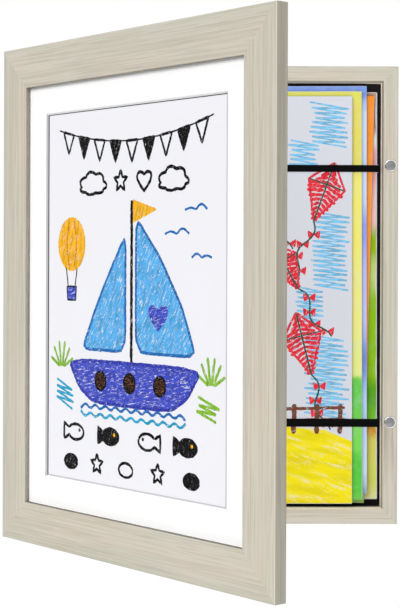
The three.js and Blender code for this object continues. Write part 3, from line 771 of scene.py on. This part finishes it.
class Drawing:
    """Crayon on a sheet. Each stroke or filled shape is a thin closed layer of wax at its own level."""

    def __init__(self, seed):
        self.bm = bmesh.new()
        self.materials = []
        self.random = random.Random(seed)
        self.strokes = 0

    def front(self, level):
        """The depth of the next stroke's front."""
        self.strokes += 1
        return -level * LEVEL_STEP - self.strokes % LIFTS * LIFT_STEP - WAX_THICKNESS

    def slot(self, material):
        if material not in self.materials:
            self.materials.append(material)
        return self.materials.index(material)

    def line(self, points, width, material, level=1, wobble=0.2, end_share=0.6):
        """A stroke along points, rough along both sides and narrower at its ends."""
        dense = [points[0]]
        for (ax, ay), (bx, by) in zip(points, points[1:]):
            count = max(1, round(math.hypot(bx - ax, by - ay) / STROKE_STEP))
            dense += [(ax + (bx - ax) * k / count, ay + (by - ay) * k / count) for k in range(1, count + 1)]
        index, front = self.slot(material), self.front(level)
        rings = []
        for k, (x, y) in enumerate(dense):
            (bx, by), (ax, ay) = dense[min(k + 1, len(dense) - 1)], dense[max(k - 1, 0)]
            way = Vector((bx - ax, by - ay))
            side = Vector((-way.y, way.x)).normalized()
            reach = width / 2 * (end_share if k in (0, len(dense) - 1) else 1)
            left, right = (reach * (1 + self.random.uniform(-wobble, wobble)) for _ in range(2))
            edges = [(x + side.x * out, y + side.y * out) for out in (left, -right)]
            ahead = front - LIFT_STEP * k / len(dense)
            back = ahead + WAX_THICKNESS
            section = [(edge, ahead) for edge in edges] + [(edge, back) for edge in edges[::-1]]
            rings.append([self.bm.verts.new((px * MM, depth, py * MM)) for (px, py), depth in section])
        tube(self.bm, rings, index)

    def patch(self, loop, material, level=0):
        """A filled shape."""
        index, front = self.slot(material), self.front(level)
        depths = (front, front + WAX_THICKNESS)
        tube(self.bm, [[self.bm.verts.new((x * MM, y, z * MM)) for x, z in loop] for y in depths], index)

    def shape(self, loop, fill, outline, width=1.8, level=0):
        """A filled shape with a line round it."""
        self.patch(loop, fill, level)
        self.line(loop + loop[:1], width, outline, level + 1)

    def zigzag(self, x, y, width, height, material, pitch, slope, thick):
        """A scribble to and fro across a block, from its top to its bottom."""
        turns = max(3, round(height / pitch))
        points = []
        for k in range(turns + 1):
            reach = (1 if k % 2 else -1) * width / 2 * self.random.uniform(0.72, 1.05)
            drop = height * (0.5 - k / turns) + self.random.uniform(-0.2, 0.2) * pitch
            points.append((x + reach, y + drop + reach * slope))
        for start, end in zip(points, points[1:]):
            self.line([start, end], thick, material, 0, end_share=0.95)


# The print in the window


def garland(d, black):
    """Flags on a string that sags between the sheet's upper corners."""
    reach, top, sag, flag = 88, 122, 12, 15

    def string(x):
        return top - sag * (1 - (x / reach) ** 2)

    d.line([(x, string(x)) for x in range(-reach, reach + 1, 8)], 1.1, black, 2)
    for k in range(9):
        x = -76 + 19 * k
        corners = [(x - 6.5, string(x - 6.5)), (x, string(x) - flag), (x + 6.5, string(x + 6.5))]
        if k % 2:
            d.patch(rounded(corners, closed=True, share=0.08), black)
        d.line(corners + corners[:1], 2.0, black)


def boat(d, wax, black):
    """A boat with two sails, a pennant and three portholes."""
    main = rounded([(5, 56), (5, -38), (70, -38), (56, -6), (32, 28)], closed=True, share=0.1)
    jib = rounded([(-7, 44), (-24, 20), (-42, -8), (-58, -38), (-7, -38)], closed=True, share=0.1)
    hull = [(-76, -46), (76, -46), (62, -66), (44, -76), (-44, -76), (-62, -66)]
    hull = rounded(hull, closed=True, share=0.14)
    pennant = [(1, 68), (27, 61), (1, 53)]
    d.line([(0, -46), (0, 68)], 3.0, black, 1)
    d.shape(main, wax["sail_blue"], wax["line_blue"], 2.2)
    d.shape(jib, wax["sail_blue"], wax["line_blue"], 2.2)
    d.shape(hull, wax["deep_blue"], wax["night_blue"], 2.4, 1)
    d.shape(pennant, wax["amber"], wax["amber"], 1.6)
    d.patch(heart(30, -12, 11), wax["deep_blue"], 1)
    for x in (-36, -2, 32):
        d.patch(arc(x, -60, 6.5)[:-1], wax["knot"], 2)
        d.line(arc(x, -60, 6.5), 1.8, black, 3)


def balloon(d, wax, black):
    """A striped balloon with its basket."""
    x, y, radius = -72, 38, 16
    d.shape(arc(x, y, radius, squash=1.16)[:-1], wax["amber"], wax["amber"], 2.4)
    for lean in (-7, 7):
        stripe = [(x + lean * 0.4, y + 17), (x + lean, y), (x + lean * 0.4, y - 17)]
        d.line(rounded(stripe), 1.6, wax["gold"], 2)
        d.line([(x + lean, y - 17), (x + lean * 0.6, y - 31)], 1.2, black)
    basket = [(x - 6, y - 31), (x + 6, y - 31), (x + 5, y - 41), (x - 5, y - 41)]
    d.shape(basket, wax["deep_blue"], black, 1.2)


def boat_drawing():
    """A sailing boat and a balloon under flags, with fish below."""
    d = Drawing(11)
    wax = crayons(BOAT_CRAYONS)
    black = wax["black"]
    garland(d, black)
    for loop in (cloud(-46, 79, 16), star(-13, 82, 8), heart(14, 82, 8), cloud(46, 79, 16)):
        d.line(loop + loop[:1], 2.3, black)
    boat(d, wax, black)
    balloon(d, wax, black)
    for place in ((50, 44, 10, 0.12), (76, 28, 8, -0.1), (70, 60, 9, 0.16)):
        for wing in gull(*place):
            d.line(wing, 1.7, wax["line_blue"])
    for k, y in enumerate((-79, -85)):
        crest = [(-60 + 6 * i, y + (2.2 if (i + k) % 2 else -2.2)) for i in range(21)]
        d.line(rounded(crest), 2.0, wax["teal" if k else "line_blue"], 3)
    for x, y in ((-84, -52), (86, -56)):
        for angle in range(20, 161, 28):
            a = math.radians(angle)
            tip = (x + 15 * math.cos(a), y + 19 * math.sin(a))
            d.line([(x + 3 * math.cos(a), y), tip], 2.3, wax["grass"])
    d.zigzag(-80, -72, 22, 16, wax["teal"], 2.2, -0.25, 1.7)
    d.zigzag(82, -72, 24, 12, wax["grass"], 2.3, -0.2, 2.0)
    for k, (x, way) in enumerate(((-66, 1), (-24, 1), (18, -1), (62, 1))):
        body = fish(x, -99, 9.5, way)
        if k % 2:
            d.patch(body, black)
        d.line(body + body[:1], 2.2, black)
        eye = arc(x + way * 4.5, -97.5, 1.3)[:-1]
        d.patch(eye, wax["amber"] if k % 2 else black, 2)
    for k, x in enumerate((-72, -40, -6, 30, 66)):
        loop = star(x, -120, 7.5) if k % 2 else arc(x, -121, 8, squash=0.62)[:-1]
        if k % 4 == 0:
            d.patch(loop, black)
        d.line(loop + loop[:1], 2.1, black)
    return d


# The front one of the stored sheets


def kite(d, x, y, size, tilt, wax):
    """A kite with slanting hatches on both sides of its spine, and bows on its tail."""
    turn = Matrix.Rotation(math.radians(tilt), 2)

    def turned(px, py):
        moved = turn @ Vector((px, py))
        return (x + moved.x, y + moved.y)

    wide, shoulder = 0.62 * size, 0.25 * size
    for k in range(HATCHES):
        py = size * (0.9 - 1.72 * k / (HATCHES - 1))
        room = (size - py) / (size - shoulder) if py > shoulder else (py + size) / (size + shoulder)
        for side in (-1, 1):
            reach = side * wide * room * d.random.uniform(0.85, 1.08)
            d.line([turned(side * 0.6, py), turned(reach, py - 0.16 * size)], 2.7, wax["red"], 1, 0.35)
    corners = [turned(0, size), turned(wide, shoulder), turned(0, -size), turned(-wide, shoulder)]
    d.line(corners + corners[:1], 1.8, wax["red"], 2)
    d.line([corners[0], corners[2]], 1.3, wax["pine"], 3)
    d.line([corners[1], corners[3]], 1.0, wax["pine"], 3)
    tail = [turned(4 * math.sin(0.9 * i), -size - 5 * i) for i in range(10)]
    d.line(rounded(tail), 1.2, wax["pine"], 3)
    for bx, by in tail[2:9:2]:
        for way in (-1, 1):
            wing = [(bx, by), (bx + way * 4.6, by + 2.8), (bx + way * 3.8, by - 2.8)]
            d.shape(wing, wax["red"], wax["red"], 1.0, 1)


def kite_drawing():
    """Red kites in a scribbled sky, over a fence and a yellow field."""
    d = Drawing(23)
    wax = crayons(KITE_CRAYONS)
    blocks = (
        (100, 136, 30, 32), (80, 112, 24, 22), (101, 38, 30, 58), (84, -4, 22, 26), (98, -60, 34, 62),
        (26, 132, 40, 30), (-24, 84, 44, 44), (-86, 136, 44, 32), (-92, 70, 34, 40), (-46, 6, 50, 38),
        (30, 58, 34, 40), (-94, -44, 34, 60), (24, -68, 46, 34),
    )
    for block in blocks:
        d.zigzag(*block, wax["sky_scribble"], 1.9, -0.1, 1.4)
    kites = (
        (96, 84, 24, -20), (80, -34, 25, 14), (44, 104, 25, 20), (-54, 112, 24, -14), (-80, 22, 28, 18),
        (4, 24, 26, -16), (-30, -48, 24, 12), (66, 26, 20, 30),
    )
    for one in kites:
        kite(d, *one, wax)
    left, right, foot = -117.4, 117.4, -158.1
    hills = [(left, -100), (-60, -106), (0, -101), (60, -98), (96, -101), (right, -110)]
    d.patch(hills + [(right, foot), (left, foot)], wax["field"])
    for k in range(13):
        x = -108 + 18 * k
        d.line([(x, -104), (x + 0.8, -81)], 3.6, wax["brown"], 4)
    for y in (-86, -95):
        d.line([(x, y + 0.02 * x) for x in range(-112, 113, 28)], 2.4, wax["brown"], 5)
    return d


# The sheets


def drawn_print(drawing, paper):
    """The window's sheet of paper, with a drawing on its front."""
    node, name = "display_print", "display_print_drawn"
    low, high = own_box(node)
    size = high - low
    slab(drawing.bm, size.x, size.z, size.y, (0, 0, 0), material=drawing.slot(paper))
    place = Matrix.Translation(front_middle(node))
    finish_piece(name, to_mesh(drawing.bm, name, False), drawing.materials, node, place)


def loose_pile(bm, size, rng, turn, front, paper):
    """Sheets on each other, each a little out of line with the front one."""
    step = (size.y - SHEET_THICKNESS) / (SHEETS_IN_PILE - 1)
    for k in range(SHEETS_IN_PILE):
        slip = [rng.uniform(-SHEET_SLIP, SHEET_SLIP) if k else 0.0 for _ in range(2)]
        twist = turn + (rng.uniform(-SHEET_TWIST, SHEET_TWIST) if k else 0.0)
        centre = (slip[0], k * step, slip[1])
        slab(bm, size.x, size.z, SHEET_THICKNESS, centre, twist, paper if k else front)


def pile_place(number, size):
    """The size and the middle of a pile, after its shifts."""
    top, bottom, right = (shift * MM for shift in PILE_SHIFTS[number - 1])
    middle = front_middle(f"art_bundle_{number}") + Vector((right, 0, (top + bottom) / 2))
    return size + Vector((0, 0, top - bottom)), middle


def finish_pile(number, bm, materials, place):
    name = f"art_sheets_{number}"
    finish_piece(name, to_mesh(bm, name, False), materials, f"art_bundle_{number}", place)


def drawn_pile(number, size, drawing, paper):
    """A pile of sheets with a drawing on the front one."""
    size, middle = pile_place(number, size)
    index = drawing.slot(paper)
    loose_pile(drawing.bm, size, drawing.random, 0.0, index, index)
    place = Matrix.Translation(middle) @ Matrix.Rotation(PILE_TURN, 4, "Y")
    finish_pile(number, drawing.bm, drawing.materials, place)


def wavy_side(bm, size, turn, material):
    """A painting just inside its sheet, its right side wavy."""
    spin = Matrix.Rotation(turn, 3, "Y")
    right, top = size.x / 2 - PAINT_BORDER, size.z / 2 - PAINT_BORDER
    heights = [top * (2 * k / PAINT_WAVE_STEPS - 1) for k in range(PAINT_WAVE_STEPS + 1)]
    short, long = PAINT_WAVE_LENGTHS
    waves = [math.sin(z / short) * math.cos(z / long) + PAINT_WAVE_SHIFT for z in heights]
    outline = [(right - PAINT_WAVE * max(0, wave), z) for z, wave in zip(heights, waves)]
    outline += [(-right, top), (-right, -top)]
    depths = (-WAX_THICKNESS, 0)
    tube(bm, [[bm.verts.new(spin @ Vector((x, y, z))) for x, z in outline] for y in depths], material)


def painted_pile(number, size, paint, turn, bordered):
    """A pile of sheets with a painting on the front one, either all over it or inside a border."""
    size, middle = pile_place(number, size)
    paper = board(f"art_sheets_{number}_paper", "pile_paper")
    bm = bmesh.new()
    loose_pile(bm, size, random.Random(number), turn, 1 if bordered else 0, 1)
    if bordered:
        wavy_side(bm, size, turn, 0)
    finish_pile(number, bm, [paint, paper], Matrix.Translation(middle))


# Parts of the frame


def raise_catches(bm):
    """Moves a piece's bores and discs up with the magnets."""
    for node, rise in CATCH_RISES.items():
        axis = front_middle(node)
        for vertex in bm.verts:
            away = vertex.co - axis
            if math.hypot(away.x, away.z) < CATCH_REACH:
                vertex.co.z += rise


def close_mitres(bm, middle, inner):
    """Narrows the gaps between a ring's rails to hairlines."""
    for vertex in bm.verts:
        away = vertex.co - middle
        gap = abs(away.z) - inner.z - (abs(away.x) - inner.x)
        if MITRE_HAIRLINE < abs(gap) < MITRE_GAP:
            axis = 0 if gap > 0 else 2
            vertex.co[axis] += math.copysign(abs(gap) - MITRE_HAIRLINE, away[axis])


def face_kind(face, ring, wall_reach):
    """0 for a rail's plain face, 1 for its inner wall with painted shade and 2 for its edge with a painted
    highlight.
    """
    middle, inner, width = ring
    reach = outwards(face.calc_center_median(), middle, inner)
    if -WELD < reach < wall_reach and abs(face.normal.y) < FACING:
        return 1
    slanted = face.normal.x > PAINTED_HIGHLIGHT_SLANT and face.normal.y < -PAINTED_HIGHLIGHT_SLANT
    return 2 if slanted and reach > width - PAINTED_HIGHLIGHT_WIDTH else 0


def make_rails(body):
    """A body's four rails, their mitres closed, with painted shade and light on their inner walls and a
    painted highlight on the bright edge.
    """
    ring, seed, walls = ring_of(body), FOIL_SEEDS[body], PAINTED_WALL_SHADES[body]
    plain = foil(f"foil_{body}", ring, seed)
    # A painted highlight along the front's outer edge on the right
    edge = foil(f"foil_{body}_edge", ring, seed, *PAINTED_HIGHLIGHT)
    kinds = dict.fromkeys(walls)
    wall_painted_shades = {wall: foil(f"foil_{body}_wall_{k}", ring, seed, *wall[:2]) for k, wall in enumerate(kinds)}

    def shape(bm):
        raise_catches(bm)
        close_mitres(bm, *ring[:2])

    for side, wall in zip(SIDES, walls):
        materials = [plain, wall_painted_shades[wall], edge]
        kind_of = partial(face_kind, ring=ring, wall_reach=wall[2])
        refine(f"{body}_{side}", materials, shape=shape, special=kind_of)


def make_mat():
    """The mat, with painted shade on its upright bevels, and painted shadow and shade lines round its window.
    """
    low, high = own_box("mat_board")
    middle = (low + high) / 2

    # Its upright bevels take the grey painted shade
    def in_upright_bevel(face):
        return BEVEL_SLANT[0] < abs(face.normal.x) < BEVEL_SLANT[1]

    def window_half(bm, y):
        """Half of the window's width and height at a depth."""
        level = [v.co - middle for v in bm.verts if abs(v.co.y - y) < WELD]
        return Vector((min(abs(p.x) for p in level), 0, min(abs(p.z) for p in level)))

    def add_lines(bm):
        foot, edge = window_half(bm, high.y), window_half(bm, low.y)
        # A dark ring just behind the mat where its bevel meets the print: a painted shadow
        margin = Vector((MAT_LINE_WIDTHS[0], 0, MAT_LINE_WIDTHS[1]))
        behind = high.y + WELD
        hollow_slab(bm, middle, foot + margin, foot - margin, behind, behind + MAT_LINE_THICKNESS, 2)
        # A pale line in front of the mat along the window's right edge: a painted shade line
        ahead = low.y - WELD - PALE_LINE_THICKNESS
        place = (middle.x + edge.x + MAT_EDGE_WIDTH / 2, ahead, middle.z)
        slab(bm, MAT_EDGE_WIDTH, 2 * edge.z, PALE_LINE_THICKNESS, place, material=3)
        # Paler lines below and on the right, in the window just in front of the print: painted shade lines
        inside = high.y - WELD - PALE_LINE_THICKNESS
        left, right = middle.x - foot.x + margin.x, middle.x + foot.x
        bottom, top = middle.z - foot.z, middle.z + foot.z - margin.z
        below = ((left + right) / 2, inside, bottom + MAT_FOOT_WIDTH / 2)
        slab(bm, right - left, MAT_FOOT_WIDTH, PALE_LINE_THICKNESS, below, material=4)
        bottom += MAT_FOOT_WIDTH
        beside = (right - MAT_FOOT_WIDTH / 2, inside, (bottom + top) / 2)
        slab(bm, MAT_FOOT_WIDTH, top - bottom, PALE_LINE_THICKNESS, beside, material=4)

    materials = [board(f"mat_{part}") for part in ("white", "bevel_shade", "line", "edge", "foot")]
    refine("mat_board", materials, special=in_upright_bevel, add=add_lines)


def make_boards():
    make_mat()
    refine("backing_board", [board("backing_grey")])
    refine("back_panel", [board("panel_black")])
    refine("glazing", [clear_sheet("clear_glazing")])


def make_straps():
    """Straps that come forwards from their slits, a little downwards."""
    elastic = webbing("black_elastic")
    for level, (top_drop, bottom_drop) in STRAP_DROPS.items():
        node = f"strap_{level}"
        low, high = own_box(node)

        def sag(bm):
            for vertex in bm.verts:
                forwards = (high.y - vertex.co.y) / (high.y - low.y)
                down = (high.z - vertex.co.z) / (high.z - low.z)
                vertex.co.z -= forwards * (top_drop + down * (bottom_drop - top_drop))

        refine(node, [elastic], STRAP_EDGE, shape=sag)


def make_magnet(node, materials):
    """A bright cup with a rounded rim, and a grey plate on it, a little low and to the left, so that a
    crescent of the cup shows as a painted highlight. The plate's dark edge is a painted shadow.
    """
    low, high = own_box(node)
    radius, depth = (high.x - low.x) / 2, high.y - low.y
    bend = [math.pi / 2 * k / RIM_STEPS for k in range(RIM_STEPS + 1)]
    rim = [(radius - RIM_ROUND * (1 - math.cos(a)), RIM_ROUND * (1 - math.sin(a))) for a in bend]
    bm = bmesh.new()
    seat = front_middle(node) + Vector((0, 0, CATCH_RISES[node]))
    lathe(bm, [(radius, depth)] + rim, seat)
    centre = seat + Vector((PLATE_SHIFT[0], -PLATE_RISE, PLATE_SHIFT[1]))
    wide = radius - PLATE_MARGIN
    inwards, back = PLATE_CHAMFER
    lathe(bm, [(wide, PLATE_RISE), (wide, back), (wide - inwards, 0)], centre, 2)
    # The plate's front is grey; its side and chamfer keep the dark painted shadow
    for one in bm.faces:
        if one.material_index == 2 and len(one.verts) > 4 and one.calc_center_median().y < low.y:
            one.material_index = 1
    name = f"{node}_finished"
    finish_piece(name, to_mesh(bm, name), materials, node)


def make_metal():
    zinc, bright, nickel = (metal(name) for name in ("zinc_plate", "screw_zinc", "catch_nickel"))
    catch = [metal(name) for name in ("catch_bright", "catch_plate", "catch_plate_painted_shadow")]
    for node in frame["nodes"]:
        if "screw" in node or "staple" in node or "flexi" in node:
            refine(node, [bright])
        elif node.startswith(("hinge", "hanger")):
            refine(node, [zinc])
        elif node.startswith("strike"):
            refine(node, [nickel], shape=raise_catches)
        elif node.startswith("magnet"):
            make_magnet(node, catch)


def make_art():
    print_paper = board("print_paper")
    drawn_print(boat_drawing(), print_paper)
    sheet_paper = board("sheet_paper")
    low, high = own_box("art_bundle_1")
    drawn_pile(1, high - low, kite_drawing(), sheet_paper)
    for number, (name, look) in enumerate(PAINTINGS.items(), 2):
        turn = turn_of(f"art_bundle_{number}") if name == "sunset" else PILE_TURN
        painted_pile(number, high - low, washes(f"wash_{name}", *look), turn, name == "garden")


# Studio


def make_camera():
    data = bpy.data.cameras.new("camera")
    data.sensor_width = SENSOR
    data.lens = FOCAL_PIXELS * SENSOR / PHOTO_HEIGHT
    data.shift_y = (EYE_LINE_PIXELS - PHOTO_HEIGHT / 2) / PHOTO_HEIGHT
    camera = new_object("camera", data)
    camera.location = CAMERA_PLACE
    camera.rotation_euler = (math.pi / 2, -CAMERA_ROLL, 0)
    bpy.context.scene.camera = camera


def seen_ray(g):
    """1 for the rays that show the background: the camera's, and those of mirrors and clear sheets."""
    path = g.add("ShaderNodeLightPath").outputs
    seen = g.plus(path["Is Camera Ray"], path["Is Glossy Ray"])
    return g.math("ADD", seen, path["Is Transmission Ray"], clamp=True)


def make_world():
    """Even light from all round, with white behind everything."""
    world = bpy.data.worlds.new("studio")
    bpy.context.scene.world = world
    world.use_nodes = True
    g = Graph(world.node_tree)
    background = g.tree.nodes["Background"]
    g.feed(background.inputs["Color"], WHITE)
    extra = g.times(seen_ray(g), 1 - SKY_LEVEL)
    g.feed(background.inputs["Strength"], g.plus(extra, SKY_LEVEL))


def group_of(name, pieces):
    group = bpy.data.collections.new(name)
    for piece in pieces:
        group.objects.link(piece)
    return group


def make_sun(name, light, lit, blockers):
    """A soft sun that lights some pieces and is blocked by some."""
    level, direction, softness = light
    data = bpy.data.lights.new(name, "SUN")
    data.energy = level * math.pi
    data.angle = softness
    lamp = new_object(name, data)
    lamp.rotation_euler = direction.to_track_quat("Z", "Y").to_euler()
    lamp.light_linking.receiver_collection = group_of(f"{name}_lit", lit)
    lamp.light_linking.blocker_collection = group_of(f"{name}_blockers", blockers)


def make_light(floor):
    """As in the photograph, the box lies in no shadow of the door, nor the sheets in one of the straps or of
    the box's top rail."""
    door, box = ([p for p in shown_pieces() if body_of(p) == [body]] for body in ("door", "box"))
    make_sun("key_on_door", DOOR_KEY, door + [floor], door + box)
    blockers = [piece for piece in box if not piece.name.startswith(("strap", "box_rail_top"))]
    make_sun("key_on_box", BOX_KEY, box, blockers)
    make_sun("fill_on_box", BOX_FILL, box, blockers)


def make_floor():
    """A pale disc below the frame that takes its shadow."""
    bm = bmesh.new()
    bmesh.ops.create_circle(bm, cap_ends=True, segments=FLOOR_SEGMENTS, radius=FLOOR_RADIUS)
    g, material = new_material("floor_pale")
    g.surface(
        Base_Color=g.mix(g.noise(g.place(), scale=8, detail=2), *FLOOR_TONES),
        Roughness=0.9,
        Specular_IOR_Level=0.0,
        Emission_Color=WHITE,
        Emission_Strength=g.times(seen_ray(g), FLOOR_LIFT),
    )
    mesh = to_mesh(bm, "floor", False)
    mesh.materials.append(material)
    floor = new_object("floor", mesh)
    floor.location.z = FLOOR_LEVEL
    floor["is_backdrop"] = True
    return floor


make_camera()
for body in ("door", "box"):
    make_rails(body)
make_boards()
make_straps()
make_metal()
make_art()
make_world()
make_light(make_floor())
bpy.context.scene.view_settings.view_transform = "Standard"
